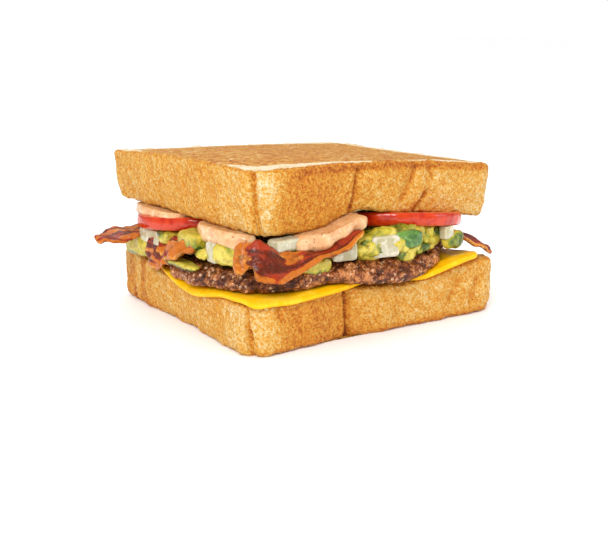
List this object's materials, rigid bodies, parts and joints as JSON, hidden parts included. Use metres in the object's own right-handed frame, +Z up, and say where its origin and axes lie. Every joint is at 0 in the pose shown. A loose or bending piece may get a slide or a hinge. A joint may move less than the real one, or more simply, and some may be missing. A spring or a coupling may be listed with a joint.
{
  "type": "bacon avocado burger on thick toast",
  "caption": "Square thick-toast sandwich with a beef patty, melted cheese, bacon, avocado, onion, tomato and sauce.",
  "frame": {"origin": "middle of the bottom toast slice's resting face, on the table plane", "axes": "+Z up through the stack; -Y is the browned loaf crust with its creases, the wide front side; +X runs along that side to the right"},
  "size_m": [0.1452, 0.1271, 0.0669],
  "materials": {
    "toast": "matte toasted bread crust, golden brown",
    "cheese": "soft satin melted cheese",
    "patty": "craggy browned mince with moist highlights",
    "bacon": "glossy fried streaky bacon",
    "tomato": "wet glossy tomato",
    "avocado": "moist soft avocado",
    "onion": "translucent raw onion",
    "chile": "glossy dark green pepper",
    "sauce": "creamy speckled sauce"
  },
  "bodies": {
    "root": {"bottom_toast": "toast", "top_toast": "toast", "cheese_slice": "cheese", "beef_patty": "patty", "tomato_slice_left": "tomato", "tomato_slice_right": "tomato", "bacon_strip_left": "bacon", "bacon_strip_crumpled": "bacon", "bacon_strip_folded": "bacon", "bacon_strip_right": "bacon", "bacon_strip_back": "bacon", "avocado_chunk_1": "avocado", "avocado_chunk_2": "avocado", "avocado_chunk_3": "avocado", "avocado_chunk_4": "avocado", "avocado_chunk_5": "avocado", "avocado_chunk_6": "avocado", "avocado_chunk_7": "avocado", "avocado_chunk_8": "avocado", "avocado_chunk_9": "avocado", "avocado_chunk_10": "avocado", "avocado_chunk_11": "avocado", "onion_piece_1": "onion", "onion_piece_2": "onion", "onion_piece_3": "onion", "onion_piece_4": "onion", "onion_piece_5": "onion", "onion_piece_6": "onion", "onion_piece_7": "onion", "onion_piece_8": "onion", "chile_piece": "chile", "sauce_left": "sauce", "sauce_corner": "sauce", "sauce_front": "sauce", "sauce_back": "sauce", "avocado_mash": "avocado"}
  },
  "joints": []
}
